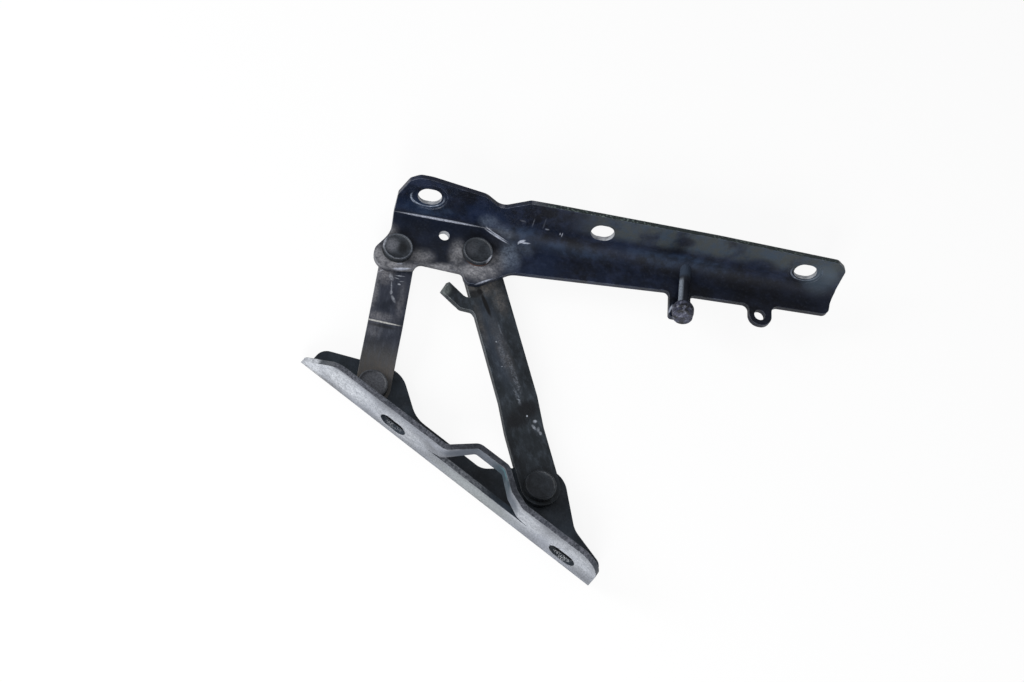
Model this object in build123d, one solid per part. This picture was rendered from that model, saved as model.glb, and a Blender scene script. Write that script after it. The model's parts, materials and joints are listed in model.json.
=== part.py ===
from build123d import *
import os
from math import acos, atan2, cos, degrees, hypot, radians, sin

# A four-bar bonnet hinge in pressed steel, in millimetres, half open as it lies on its back.
# +Z runs along the four rivets towards their heads, +X runs along the body bracket's flange,
# and the origin is midway between that flange's two bolt slots, on its mounting face (Y = 0).

# Sheets and the play between pieces that turn on each other
BRACKET_SHEET = 3.5
LINK_SHEET = 4.0
FACE_PLAY = 0.15
BORE_PLAY = 0.05

# Body bracket: a flange that bolts to the car, with the web standing up behind it
SLOT_SPACING = 125.0
SLOT_LENGTH = 18.0
SLOT_WIDTH = 10.5
SLOT_TO_BACK = 15.0
BODY_BEND = 2.5
BODY_LEFT = -131.0
BODY_RIGHT = 85.5
NEAR_EDGE_LEFT = 14.6
NEAR_EDGE_RIGHT = 19.6
BODY_LEFT_CUT = 23.0
BODY_RIGHT_ROUND = 16.0
WEB_VALLEY = 18.0
WEB_SHOULDER = 16.0
WEB_END = 4.0

# Landing strap, lanced out of the body flange's edge
STRAP_RISE = 13.6
STRAP_WIDTH = 8.6
STRAP_LEFT = -28.0
STRAP_RIGHT = 29.0
STRAP_TOP_LEFT = -13.5
STRAP_TOP_RIGHT = 7.0
STRAP_BEND = 5.0
LANCE_LEFT = -36.3
LANCE_RIGHT = 36.1
LANCE_LEVEL = 2.4
LANCE_GAP = 0.6

# Pivots A and B on the body, C and D on the bonnet bracket
PIVOT_A = (-88.6, 14.9)
PIVOT_B = (27.7, 29.7)
SHORT_LINK_LENGTH = 92.0
LONG_LINK_LENGTH = 156.8
LONG_LINK_ANGLE = 141.0
PIVOTS_ALONG = 50.4
PIVOTS_DROP = 7.7

# Links
SHORT_LINK_WIDTH = 21.4
SHORT_LINK_SHIFTS = (0.8, 1.8)
LONG_LINK_WIDTH = 24.6
LONG_LINK_SHIFTS = (0.7, 1.3)
LINK_END_TRIM = 0.6
LINK_JOGGLE = 4.5
LINK_BEND = 7.0
SHORT_RAMP_START = 19.7
SHORT_RAMP_END = 40.2
LONG_RAMP_START = 37.2
LONG_RAMP_END = 56.2

# Stop finger on the long link
FINGER_FROM_B = 123.7
FINGER_WIDTH = 8.2
FINGER_SLANT = 46.0
FINGER_REACH = 12.4
FINGER_HEIGHT = 5.4

# Rivets, bushes and washers
SHOULDER_RADIUS = 5.0
TAIL_RADIUS = 4.0
TAIL_HEAD_RADIUS = 6.6
TAIL_HEAD_HEIGHT = 2.4
HEAD_RADIUS = 8.7
HEAD_HEIGHT = 3.2
HEAD_DISH = 0.5
RIVET_SEAT = 0.4
BUSH_WALL = 1.0
BUSH_FLANGE = 0.5
BUSH_FLANGE_RADIUS = 8.2
WASHER_RADIUS = 9.7
WASHER_THICK = 0.8
OPEN_RADIUS = 3.2
OPEN_SLEEVE = 0.8
OPEN_TAIL_RADIUS = 2.8
OPEN_CLEARANCE = 3.4

# Bonnet bracket, in its own frame: u along it, v up towards the flange, pivot D at (0, 0)
BONNET_LEFT = -55.4
BONNET_RIGHT = 239.3
BONNET_TILT = 15.0
PAD_RECESS = 2.0
PAD_CORNER = 19.4
WEB_CORNER = 16.0
PAD_BEND = 1.0
WEB_BEND = 8.0
PAD_END = 1.0
WEB_START = 27.0
FLANGE_LEFT_WIDTH = 31.3
FLANGE_WAIST = 19.4
FLANGE_WIDTH = 30.8
FLANGE_RIGHT_WIDTH = 29.0
BONNET_SLOT_LENGTH = 15.2
BONNET_SLOT_WIDTH = 12.4
BONNET_SLOTS = ((-35.7, 17.0), (76.4, 16.4), (214.2, 15.0))
SURROUND_MARGIN = 3.3
SURROUND_DEPTH = 0.6
TOOLING_HOLE = (-22.0, 8.3)
TOOLING_RADIUS = 3.4
EYELET = (188.0, -9.2)
EYELET_RADIUS = 7.2
EYELET_RIGHT = 8.2
EYELET_HOLE = 3.7

# Stop stud, welded into the bonnet bracket's bend
STUD_ALONG = 137.0
STUD_LEAN = 6.5
STUD_OFFSET = 0.3
STUD_RADIUS = 3.5
STUD_LENGTH = 41.0
CAP_RADIUS = 7.0
CAP_TOP = 36.2
CAP_LENGTH = 10.4
CAP_FOOT_RADIUS = 6.4
CAP_FOOT_LENGTH = 3.4
LUG_LEFT = 126.7
LUG_WIDTH = 14.1
LUG_DROP = 22.2

# Levels along Z that follow from the stack of sheets
WEB_BACK = -SLOT_TO_BACK
WEB_FRONT = WEB_BACK + BRACKET_SHEET
LINK_BACK = WEB_FRONT + BUSH_FLANGE + FACE_PLAY
LINK_FRONT = LINK_BACK + LINK_SHEET
HIGH_BACK = LINK_BACK + LINK_JOGGLE
HIGH_FRONT = HIGH_BACK + LINK_SHEET
PAD_BACK = HIGH_FRONT + BUSH_FLANGE + FACE_PLAY
PAD_FRONT = PAD_BACK + BRACKET_SHEET
BONNET_WEB_FRONT = PAD_FRONT + PAD_RECESS
BUSH_RADIUS = SHOULDER_RADIUS + BORE_PLAY + BUSH_WALL
TILT = radians(BONNET_TILT)
FAR = 200.0
ALONG_Y = Plane(origin=(0, 0, 0), x_dir=(1, 0, 0), z_dir=(0, -1, 0))

# The pose in the linkage that closes on all four pivots
PIVOT_D = (
    PIVOT_B[0] + LONG_LINK_LENGTH * cos(radians(LONG_LINK_ANGLE)),
    PIVOT_B[1] + LONG_LINK_LENGTH * sin(radians(LONG_LINK_ANGLE)),
)
COUPLER_LENGTH = hypot(PIVOTS_ALONG, PIVOTS_DROP)
A_TO_D = hypot(PIVOT_D[0] - PIVOT_A[0], PIVOT_D[1] - PIVOT_A[1])
ANGLE_A_TO_D = atan2(PIVOT_D[1] - PIVOT_A[1], PIVOT_D[0] - PIVOT_A[0])
COS_AT_A = (SHORT_LINK_LENGTH**2 + A_TO_D**2 - COUPLER_LENGTH**2) / (2 * SHORT_LINK_LENGTH * A_TO_D)
SHORT_LINK_ANGLE = degrees(ANGLE_A_TO_D + acos(COS_AT_A))
PIVOT_C = (
    PIVOT_A[0] + SHORT_LINK_LENGTH * cos(radians(SHORT_LINK_ANGLE)),
    PIVOT_A[1] + SHORT_LINK_LENGTH * sin(radians(SHORT_LINK_ANGLE)),
)
C_TO_D = atan2(PIVOT_D[1] - PIVOT_C[1], PIVOT_D[0] - PIVOT_C[0])
BONNET_ANGLE = degrees(C_TO_D - atan2(PIVOTS_DROP, PIVOTS_ALONG))


def outline(corners):
    """A closed face from (x, y, corner radius) points."""
    points = [(x, y) for x, y, _ in corners]
    radii = [radius for _, _, radius in corners]
    return make_face(FilletPolyline(*points, radius=radii, close=True))


def disc(radius, low, high):
    return Pos(0, 0, low) * extrude(Circle(radius), amount=high - low)


# Body bracket


def near_edge(x):
    """How far the flange reaches along Z at a place along its length."""
    share = (x - BODY_LEFT) / (BODY_RIGHT - BODY_LEFT)
    return NEAR_EDGE_LEFT + share * (NEAR_EDGE_RIGHT - NEAR_EDGE_LEFT)


def body_section():
    """The L of web and flange, drawn in Y and Z."""
    return outline(
        [
            (0, WEB_BACK, BODY_BEND + BRACKET_SHEET),
            (FAR / 2, WEB_BACK, 0),
            (FAR / 2, WEB_FRONT, 0),
            (BRACKET_SHEET, WEB_FRONT, BODY_BEND),
            (BRACKET_SHEET, FAR / 2, 0),
            (0, FAR / 2, 0),
        ]
    )


def body_web_outline():
    """The web's two lobes, one round each fixed pivot, seen along Z with the flange below them."""
    return outline(
        [
            (BODY_LEFT, -1, 0),
            (BODY_LEFT, BRACKET_SHEET, 0),
            (BODY_LEFT + WEB_END, BRACKET_SHEET + 1, 1),
            (BODY_LEFT + WEB_END, WEB_SHOULDER, 8),
            (PIVOT_A[0] + 6.6, PIVOT_A[1] + 22.2, 17),
            (PIVOT_A[0] + 32.3, WEB_VALLEY, 20),
            (PIVOT_B[0] - 34.2, WEB_VALLEY, 10),
            (PIVOT_B[0] + 3.3, PIVOT_B[1] + 22.1, 15),
            (PIVOT_B[0] + 31.9, PIVOT_B[1] - 6.0, 15),
            (BODY_RIGHT - 1, WEB_SHOULDER, 6),
            (BODY_RIGHT, -1, 0),
        ]
    )


def body_flange_outline():
    """The flange seen square to its mounting face, with the web's edge hidden below it."""
    return outline(
        [
            (BODY_LEFT, -FAR, 0),
            (BODY_LEFT, near_edge(BODY_LEFT) - BODY_LEFT_CUT, 8),
            (BODY_LEFT + BODY_LEFT_CUT, near_edge(BODY_LEFT + BODY_LEFT_CUT), 14),
            (BODY_RIGHT, near_edge(BODY_RIGHT), BODY_RIGHT_ROUND),
            (BODY_RIGHT, -FAR, 0),
        ]
    )


def strap():
    """The strip that is lanced from the flange's edge, drawn narrower and raised to meet the stop stud."""
    low = BRACKET_SHEET / 2
    high = low + STRAP_RISE
    path = FilletPolyline(
        (LANCE_LEFT - 1, low),
        (STRAP_LEFT, low),
        (STRAP_TOP_LEFT, high),
        (STRAP_TOP_RIGHT, high),
        (STRAP_TOP_RIGHT + 12, low + 4),
        (STRAP_RIGHT, low),
        (LANCE_RIGHT + 1, low),
        radius=STRAP_BEND,
    )
    foot_edge = LANCE_LEVEL + LANCE_GAP
    top_edge = near_edge((STRAP_TOP_LEFT + STRAP_TOP_RIGHT) / 2) - STRAP_WIDTH
    plan = outline(
        [
            (LANCE_LEFT - 1, foot_edge, 0),
            (LANCE_LEFT + 2, foot_edge, 2),
            (STRAP_TOP_LEFT, top_edge, 10),
            (STRAP_TOP_RIGHT, top_edge, 10),
            (LANCE_RIGHT - 2, foot_edge, 2),
            (LANCE_RIGHT + 1, foot_edge, 0),
            (LANCE_RIGHT + 1, FAR / 2, 0),
            (LANCE_LEFT - 1, FAR / 2, 0),
        ]
    )
    strip = extrude(trace(path, BRACKET_SHEET), amount=FAR / 2)
    return strip & extrude(ALONG_Y * plan, amount=FAR, both=True)


def body_bracket():
    along_x = Plane(origin=(BODY_LEFT, 0, 0), x_dir=(0, 1, 0), z_dir=(1, 0, 0))
    sheet = extrude(along_x * body_section(), amount=BODY_RIGHT - BODY_LEFT)
    sheet &= extrude(body_web_outline(), amount=FAR, both=True)
    lanced = LANCE_RIGHT - LANCE_LEFT
    window = Box(lanced, 4 * BRACKET_SHEET, FAR, align=(Align.MIN, Align.CENTER, Align.MIN))
    sheet -= Pos(LANCE_LEFT, 0, LANCE_LEVEL) * window
    sheet += strap()
    sheet &= extrude(ALONG_Y * body_flange_outline(), amount=FAR, both=True)
    slot = extrude(ALONG_Y * SlotOverall(SLOT_LENGTH, SLOT_WIDTH), amount=3 * BRACKET_SHEET, both=True)
    for side in (-1, 1):
        sheet -= Pos(side * SLOT_SPACING / 2, 0, 0) * slot
    for x, y in (PIVOT_A, PIVOT_B):
        sheet -= Pos(x, y, 0) * disc(TAIL_RADIUS, WEB_BACK - 1, WEB_FRONT + 1)
    return sheet


# Links


def link_sheet(length, width, shifts, ramp_start, ramp_end):
    """A strip with round ends that steps up along its ramp, set off to one side of its pivots."""
    low = LINK_BACK + LINK_SHEET / 2
    high = low + LINK_JOGGLE
    far_end = (length + width, high)
    path = FilletPolyline((-width, low), (ramp_start, low), (ramp_end, high), far_end, radius=LINK_BEND)
    strip = extrude(ALONG_Y * trace(path, LINK_SHEET), amount=width, both=True)
    half = width / 2
    body_shift, bonnet_shift = shifts
    near = LINK_END_TRIM - half
    far = length + half
    plan = outline(
        [
            (near, -half - body_shift, half - 0.1),
            (far, -half - bonnet_shift, half - 0.1),
            (far, half - bonnet_shift, half - 0.1),
            (near, half - body_shift, half - 0.1),
        ]
    )
    return strip & extrude(plan, amount=FAR, both=True)


def short_link():
    sides = (SHORT_LINK_WIDTH, SHORT_LINK_SHIFTS)
    link = link_sheet(SHORT_LINK_LENGTH, *sides, SHORT_RAMP_START, SHORT_RAMP_END)
    link -= disc(BUSH_RADIUS, WEB_FRONT, LINK_FRONT + 1)
    return link - Pos(SHORT_LINK_LENGTH, 0, 0) * disc(OPEN_TAIL_RADIUS, HIGH_BACK - 1, HIGH_FRONT + 1)


def finger():
    """The stop that reaches out beside the long link and folds up towards the bonnet bracket's edge."""
    edge = LONG_LINK_WIDTH / 2 - LONG_LINK_SHIFTS[1]
    neck = outline(
        [
            (-12, -6, 0),
            (-8, 0, 3),
            (-4.3, 1.2, 3),
            (-1.2, 8.4, 3.5),
            (1.3, 9.9, 0),
            (7.2, 4.2, 0),
            (5.6, 2.6, 2),
            (4.5, -1, 0),
            (4.5, -6, 0),
        ]
    )
    mid = LINK_SHEET / 2
    path = FilletPolyline((-1.5, mid), (0.5, mid), (FINGER_REACH, FINGER_HEIGHT + mid), radius=mid + 2)
    tip = extrude(ALONG_Y * trace(path, LINK_SHEET), amount=FINGER_WIDTH / 2, both=True)
    flat = extrude(neck, amount=LINK_SHEET) + Pos(3.9, 6.7, 0) * Rot(0, 0, FINGER_SLANT) * tip
    return Pos(FINGER_FROM_B, edge, HIGH_BACK) * flat


def long_link():
    sides = (LONG_LINK_WIDTH, LONG_LINK_SHIFTS)
    link = link_sheet(LONG_LINK_LENGTH, *sides, LONG_RAMP_START, LONG_RAMP_END)
    link += finger()
    link -= disc(BUSH_RADIUS, WEB_FRONT, LINK_FRONT + 1)
    return link - Pos(LONG_LINK_LENGTH, 0, 0) * disc(TAIL_RADIUS, HIGH_BACK - 1, HIGH_FRONT + 1)


# Rivets, bushes and washers


def rivet_head(base):
    """A low round head with a shallow dish inside a raised ring."""
    ring = 0.62 * HEAD_RADIUS
    floor = 0.4 * HEAD_RADIUS
    edge = 0.35 * HEAD_HEIGHT
    dished = HEAD_HEIGHT - HEAD_DISH
    profile = make_face(
        [
            Line((0, 0), (HEAD_RADIUS, 0)),
            Line((HEAD_RADIUS, 0), (HEAD_RADIUS, edge)),
            ThreePointArc((HEAD_RADIUS, edge), (0.9 * HEAD_RADIUS, 0.86 * HEAD_HEIGHT), (ring, HEAD_HEIGHT)),
            Line((ring, HEAD_HEIGHT), (floor, dished)),
            Line((floor, dished), (0, dished)),
            Line((0, dished), (0, 0)),
        ]
    )
    return Pos(0, 0, base) * revolve(ALONG_Y * profile, Axis.Z)


def rivet(clamped_back, clamped_front, turning_front, shoulder, tail):
    """Tail peened behind the clamped sheet, shoulder through the turning one, head over its washer."""
    head_base = turning_front + FACE_PLAY + WASHER_THICK
    formed = disc(TAIL_HEAD_RADIUS, clamped_back - TAIL_HEAD_HEIGHT, clamped_back)
    formed = chamfer(formed.edges().sort_by(Axis.Z)[0], 0.4 * TAIL_HEAD_HEIGHT)
    shank = disc(tail, clamped_back, clamped_front) + disc(shoulder, clamped_front, head_base)
    return formed + shank + rivet_head(head_base)


def washer(turning_front, shoulder):
    low = turning_front + FACE_PLAY
    return disc(WASHER_RADIUS, low, low + WASHER_THICK) - disc(shoulder + 0.2, low, low + WASHER_THICK)


def bush(turning_back, turning_front):
    """A flanged bush pressed into the turning sheet, flange towards the clamped one."""
    body = disc(BUSH_RADIUS, turning_back, turning_front)
    body += disc(BUSH_FLANGE_RADIUS, turning_back - BUSH_FLANGE, turning_back)
    return body - disc(SHOULDER_RADIUS + BORE_PLAY, turning_back - BUSH_FLANGE, turning_front)


def open_sleeve():
    """The sleeve on rivet C, which stays with the rivet inside an oversize hole."""
    body = disc(OPEN_RADIUS + OPEN_SLEEVE, HIGH_FRONT, PAD_FRONT + FACE_PLAY)
    body += disc(BUSH_FLANGE_RADIUS, HIGH_FRONT, HIGH_FRONT + BUSH_FLANGE)
    return body - disc(OPEN_RADIUS, HIGH_FRONT, PAD_FRONT + FACE_PLAY)


# Bonnet bracket


def under_face(corner, front):
    """The flange's inner face, with its local x along the bracket and its local y up the flange."""
    return Plane(origin=(0, corner, front), x_dir=(1, 0, 0), z_dir=(0, -cos(TILT), sin(TILT)))


def bonnet_section(u, corner, front, bend):
    """The open L of web and leaning flange at one place along the bracket."""
    reach = FAR / 3
    sheet = BRACKET_SHEET
    back_corner = corner + sheet * (1 - sin(TILT)) / cos(TILT)
    flange_end = (corner + reach * sin(TILT), front + reach * cos(TILT))
    section = outline(
        [
            (-reach, front, 0),
            (corner, front, bend),
            (flange_end[0], flange_end[1], 0),
            (flange_end[0] + sheet * cos(TILT), flange_end[1] - sheet * sin(TILT), 0),
            (back_corner, front - sheet, bend + sheet),
            (-reach, front - sheet, 0),
        ]
    )
    return Plane(origin=(u, 0, 0), x_dir=(0, 1, 0), z_dir=(1, 0, 0)) * section


def bonnet_web_outline():
    """The web's edge: the lobes round C and D, the stud's lug, the eyelet and both ends."""
    c_u, c_v = -PIVOTS_ALONG, -PIVOTS_DROP
    lug_right = LUG_LEFT + LUG_WIDTH
    eye_u, eye_v = EYELET
    return outline(
        [
            (BONNET_LEFT, FAR / 2, 0),
            (BONNET_LEFT, 4, 22),
            (c_u - 14.2, c_v - 1.6, 7),
            (c_u - 13.2, c_v - 16.4, 10),
            (c_u + 11.9, c_v - 12.2, 2.5),
            (c_u + 13.4, c_v - 6.7, 5),
            (-8, -15.9, 3),
            (-5.8, -22.8, 5),
            (3, -22.8, 8),
            (22.5, -10.7, 12),
            (LUG_LEFT, -3.4, 3),
            (LUG_LEFT, -LUG_DROP, 2),
            (lug_right, -LUG_DROP, 2),
            (lug_right, -3.8, 3),
            (eye_u - EYELET_RADIUS, -2.4, 4),
            (eye_u - EYELET_RADIUS, eye_v - EYELET_RADIUS, EYELET_RADIUS - 0.1),
            (eye_u + EYELET_RIGHT, eye_v - EYELET_RADIUS, EYELET_RADIUS - 0.1),
            (eye_u + EYELET_RIGHT, -0.7, 5),
            (BONNET_RIGHT - 3.7, 0.4, 5),
            (BONNET_RIGHT - 2.4, 8.4, 0),
            (BONNET_RIGHT, 16, 0),
            (BONNET_RIGHT, FAR / 2, 0),
        ]
    )


def bonnet_flange_outline():
    """The flange's free edge, measured up the pad's inner face, with its waist at the joggle."""
    return outline(
        [
            (-FAR, -FAR, 0),
            (-FAR, -4, 0),
            (BONNET_LEFT, -4, 0),
            (BONNET_LEFT, FLANGE_LEFT_WIDTH - 16.5, 4),
            (BONNET_LEFT + 5.2, FLANGE_LEFT_WIDTH - 4, 4),
            (BONNET_LEFT + 11, FLANGE_LEFT_WIDTH, 6),
            (BONNET_LEFT + 19, FLANGE_LEFT_WIDTH, 20),
            (-1.5, FLANGE_LEFT_WIDTH - 5.5, 10),
            (10, FLANGE_WAIST, 8),
            (WEB_START - 0.5, FLANGE_WIDTH - 0.3, 4),
            (WEB_START + 17, FLANGE_WIDTH, 40),
            (150, FLANGE_WIDTH, 200),
            (BONNET_RIGHT - 7, FLANGE_RIGHT_WIDTH, 4),
            (BONNET_RIGHT, FLANGE_RIGHT_WIDTH - 5, 5),
            (BONNET_RIGHT, -FAR, 0),
        ]
    )


def bonnet_bracket():
    pad = bonnet_section(-FAR / 2, PAD_CORNER, PAD_FRONT, PAD_BEND)
    pad_end = bonnet_section(PAD_END, PAD_CORNER, PAD_FRONT, PAD_BEND)
    web_start = bonnet_section(WEB_START, WEB_CORNER, BONNET_WEB_FRONT, WEB_BEND)
    sheet = extrude(pad, amount=FAR / 2 + PAD_END)
    sheet += loft([pad_end, web_start], ruled=True)
    sheet += extrude(web_start, amount=BONNET_RIGHT - WEB_START)
    seat = WASHER_RADIUS + RIVET_SEAT
    sheet = sheet - disc(seat, PAD_FRONT, FAR) + disc(seat, PAD_BACK, PAD_FRONT)
    sheet &= extrude(bonnet_web_outline(), amount=FAR, both=True)
    pad_face = under_face(PAD_CORNER, PAD_FRONT)
    web_face = under_face(WEB_CORNER, BONNET_WEB_FRONT)
    sheet &= extrude(pad_face * bonnet_flange_outline(), amount=FAR, both=True)
    for place, (along, up) in enumerate(BONNET_SLOTS):
        face = pad_face if place == 0 else web_face
        slot = Pos(along, up) * SlotOverall(BONNET_SLOT_LENGTH, BONNET_SLOT_WIDTH)
        sheet -= extrude(face * slot, amount=3 * BRACKET_SHEET, both=True)
        if place != 1:
            grown = 2 * SURROUND_MARGIN
            pressed = SlotOverall(BONNET_SLOT_LENGTH + grown, BONNET_SLOT_WIDTH + grown)
            deep = face * Pos(along, up, -SURROUND_DEPTH) * pressed
            sheet -= extrude(deep, amount=SURROUND_DEPTH + 1, taper=-30)
    holes = [
        (0, 0, BUSH_RADIUS),
        (-PIVOTS_ALONG, -PIVOTS_DROP, OPEN_RADIUS + OPEN_SLEEVE + OPEN_CLEARANCE),
        (TOOLING_HOLE[0], TOOLING_HOLE[1], TOOLING_RADIUS),
        (EYELET[0], EYELET[1], EYELET_HOLE),
    ]
    for along, up, radius in holes:
        sheet -= Pos(along, up, 0) * disc(radius, PAD_BACK - 1, BONNET_WEB_FRONT + 1)
    return sheet


# Stop stud and its cap


def stud_axis():
    face = under_face(WEB_CORNER, BONNET_WEB_FRONT)
    return face * Pos(STUD_ALONG, STUD_OFFSET, 0) * Rot(0, -STUD_LEAN, 0)


def stop_stud(bracket):
    """A plain pin welded into the inside of the bend."""
    pin = stud_axis() * disc(STUD_RADIUS, 0, STUD_LENGTH) - bracket
    return pin.solids().sort_by(SortBy.VOLUME)[-1]


def stud_cap():
    """The barrel-shaped cap on the pin's end, with a narrower flat foot."""
    foot = CAP_LENGTH - CAP_FOOT_LENGTH
    profile = outline(
        [
            (0, 0, 0),
            (CAP_RADIUS - 1.2, 0, 1.0),
            (CAP_RADIUS, 2.6, 2.0),
            (CAP_RADIUS - 0.1, foot - 0.6, 0.5),
            (CAP_FOOT_RADIUS, foot, 0.3),
            (CAP_FOOT_RADIUS - 0.1, CAP_LENGTH, 0.8),
            (0, CAP_LENGTH, 0),
        ]
    )
    cap = revolve(ALONG_Y * profile, Axis.Z) - disc(STUD_RADIUS, -1, STUD_LENGTH - CAP_TOP)
    return stud_axis() * Pos(0, 0, CAP_TOP) * cap


# The whole hinge in its photographed pose

at_a = Pos(PIVOT_A[0], PIVOT_A[1], 0)
at_b = Pos(PIVOT_B[0], PIVOT_B[1], 0)
at_c = Pos(PIVOT_C[0], PIVOT_C[1], 0)
at_d = Pos(PIVOT_D[0], PIVOT_D[1], 0)
on_short_link = at_a * Rot(0, 0, SHORT_LINK_ANGLE)
on_long_link = at_b * Rot(0, 0, LONG_LINK_ANGLE)
on_bonnet = at_d * Rot(0, 0, BONNET_ANGLE)

bonnet_sheet = bonnet_bracket()
body_stack = (WEB_BACK, WEB_FRONT, LINK_FRONT)
bonnet_stack = (HIGH_BACK, HIGH_FRONT, PAD_FRONT)

nodes = {
    "body_bracket": body_bracket(),
    "bonnet_bracket": on_bonnet * bonnet_sheet,
    "short_link": on_short_link * short_link(),
    "long_link": on_long_link * long_link(),
    "short_link_body_rivet": at_a * rivet(*body_stack, SHOULDER_RADIUS, TAIL_RADIUS),
    "long_link_body_rivet": at_b * rivet(*body_stack, SHOULDER_RADIUS, TAIL_RADIUS),
    "short_link_bonnet_rivet": at_c * rivet(*bonnet_stack, OPEN_RADIUS, OPEN_TAIL_RADIUS),
    "long_link_bonnet_rivet": at_d * rivet(*bonnet_stack, SHOULDER_RADIUS, TAIL_RADIUS),
    "short_link_body_washer": at_a * washer(LINK_FRONT, SHOULDER_RADIUS),
    "long_link_body_washer": at_b * washer(LINK_FRONT, SHOULDER_RADIUS),
    "short_link_bonnet_washer": at_c * washer(PAD_FRONT, OPEN_RADIUS),
    "long_link_bonnet_washer": at_d * washer(PAD_FRONT, SHOULDER_RADIUS),
    "short_link_body_bush": at_a * bush(LINK_BACK, LINK_FRONT),
    "long_link_body_bush": at_b * bush(LINK_BACK, LINK_FRONT),
    "short_link_bonnet_sleeve": at_c * open_sleeve(),
    "long_link_bonnet_bush": at_d * bush(PAD_BACK, PAD_FRONT),
    "stop_stud": on_bonnet * stop_stud(bonnet_sheet),
    "stud_cap": on_bonnet * stud_cap(),
}

os.makedirs("parts", exist_ok=True)
for name, solid in nodes.items():
    export_step(solid, f"parts/{name}.step")
    print(name, len(solid.solids()), round(solid.volume), "mm3")
print("pivots", PIVOT_A, PIVOT_B, PIVOT_C, PIVOT_D)
print("angles", SHORT_LINK_ANGLE, LONG_LINK_ANGLE, BONNET_ANGLE)
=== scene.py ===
import json
from math import atan2, cos, degrees, radians, sin

import bmesh
import bpy
from mathutils import Matrix, Vector


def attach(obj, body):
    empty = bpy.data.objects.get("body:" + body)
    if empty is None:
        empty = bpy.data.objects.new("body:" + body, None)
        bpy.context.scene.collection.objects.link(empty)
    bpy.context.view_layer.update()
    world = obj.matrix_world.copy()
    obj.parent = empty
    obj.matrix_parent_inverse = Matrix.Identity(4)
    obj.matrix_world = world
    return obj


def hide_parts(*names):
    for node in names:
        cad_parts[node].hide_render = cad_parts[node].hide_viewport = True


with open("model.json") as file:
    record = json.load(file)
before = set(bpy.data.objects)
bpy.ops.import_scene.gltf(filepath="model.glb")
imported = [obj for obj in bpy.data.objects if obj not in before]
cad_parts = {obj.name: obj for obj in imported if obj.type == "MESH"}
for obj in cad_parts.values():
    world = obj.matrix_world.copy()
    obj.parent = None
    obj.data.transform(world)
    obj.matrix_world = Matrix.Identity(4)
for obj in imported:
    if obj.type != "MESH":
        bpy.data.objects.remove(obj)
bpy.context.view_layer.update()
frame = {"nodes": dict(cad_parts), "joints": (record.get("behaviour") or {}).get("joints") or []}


# Camera
# The photograph looks down on the hinge from 30 degrees off the rivets' axis, from about 0.9 m away.
camera_at = Vector((0.0564, -0.3710, 0.8229))
camera_right = Vector((0.7913, 0.5678, 0.2270))
camera_up = Vector((-0.6028, 0.6620, 0.4455))
camera_back = camera_right.cross(camera_up)
view_lens = bpy.data.cameras.new("view_lens")
view_lens.lens = 54.09
view_lens.sensor_width = 36
view_lens.clip_end = 20
camera = bpy.data.objects.new("camera", view_lens)
camera.matrix_world = Matrix.LocRotScale(
    camera_at,
    Matrix((camera_right, camera_up, camera_back)).transposed(),
    None,
)
bpy.context.collection.objects.link(camera)
bpy.context.scene.camera = camera
bpy.context.scene.view_settings.view_transform = "Standard"


# Floor and light
# A white studio table under the rivets' tails, which keeps the hinge's soft shadow, and a dim even
# white room with two soft lamps, one low in front of the hinge and one at its left. From below the
# table is clear, so that the hinge's underside can be looked at.
def linear(colour):
    """The linear RGBA of an sRGB hex colour."""
    parts = [int(colour[i:i + 2], 16) / 255 for i in (1, 3, 5)]
    return [((c + 0.055) / 1.055) ** 2.4 if c > 0.04045 else c / 12.92 for c in parts] + [1.0]


def add(tree, kind, feeds=None, **settings):
    """A new node with its settings, and its inputs each given a value or a link."""
    node = tree.nodes.new(kind)
    for setting, value in settings.items():
        setattr(node, setting, value)
    for key, value in (feeds or {}).items():
        if isinstance(value, bpy.types.NodeSocket):
            tree.links.new(value, node.inputs[key])
        else:
            node.inputs[key].default_value = value
    return node


floor_height = -0.0176
floor_reach = 8.0
floor_mesh = bpy.data.meshes.new("floor")
floor_mesh.from_pydata(
    [(x * floor_reach, y * floor_reach, floor_height) for x, y in ((-1, -1), (1, -1), (1, 1), (-1, 1))],
    [],
    [(0, 1, 2, 3)],
)
floor = bpy.data.objects.new("floor", floor_mesh)
bpy.context.collection.objects.link(floor)

# The camera sees the table as mostly plain white: only the rest of it shows light and shadow.
plain_white_share = 0.9
table_white = bpy.data.materials.new("white_laminate_table")
table_white.use_nodes = True
tree = table_white.node_tree
tree.nodes.clear()
board = add(tree, "ShaderNodeBsdfDiffuse", {"Color": linear("#f2f2f2")})
bright = add(tree, "ShaderNodeEmission", {"Color": linear("#ffffff"), "Strength": 1.0})
path = add(tree, "ShaderNodeLightPath")
seen = add(
    tree,
    "ShaderNodeMath",
    {0: path.outputs["Is Camera Ray"], 1: plain_white_share},
    operation="MULTIPLY",
)
lit = add(tree, "ShaderNodeMixShader", {0: seen.outputs[0], 1: board.outputs[0], 2: bright.outputs[0]})
below = add(tree, "ShaderNodeNewGeometry").outputs["Backfacing"]
clear = add(tree, "ShaderNodeBsdfTransparent")
top = add(tree, "ShaderNodeMixShader", {0: below, 1: lit.outputs[0], 2: clear.outputs[0]})
add(tree, "ShaderNodeOutputMaterial", {"Surface": top.outputs[0]})
floor_mesh.materials.append(table_white)

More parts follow.
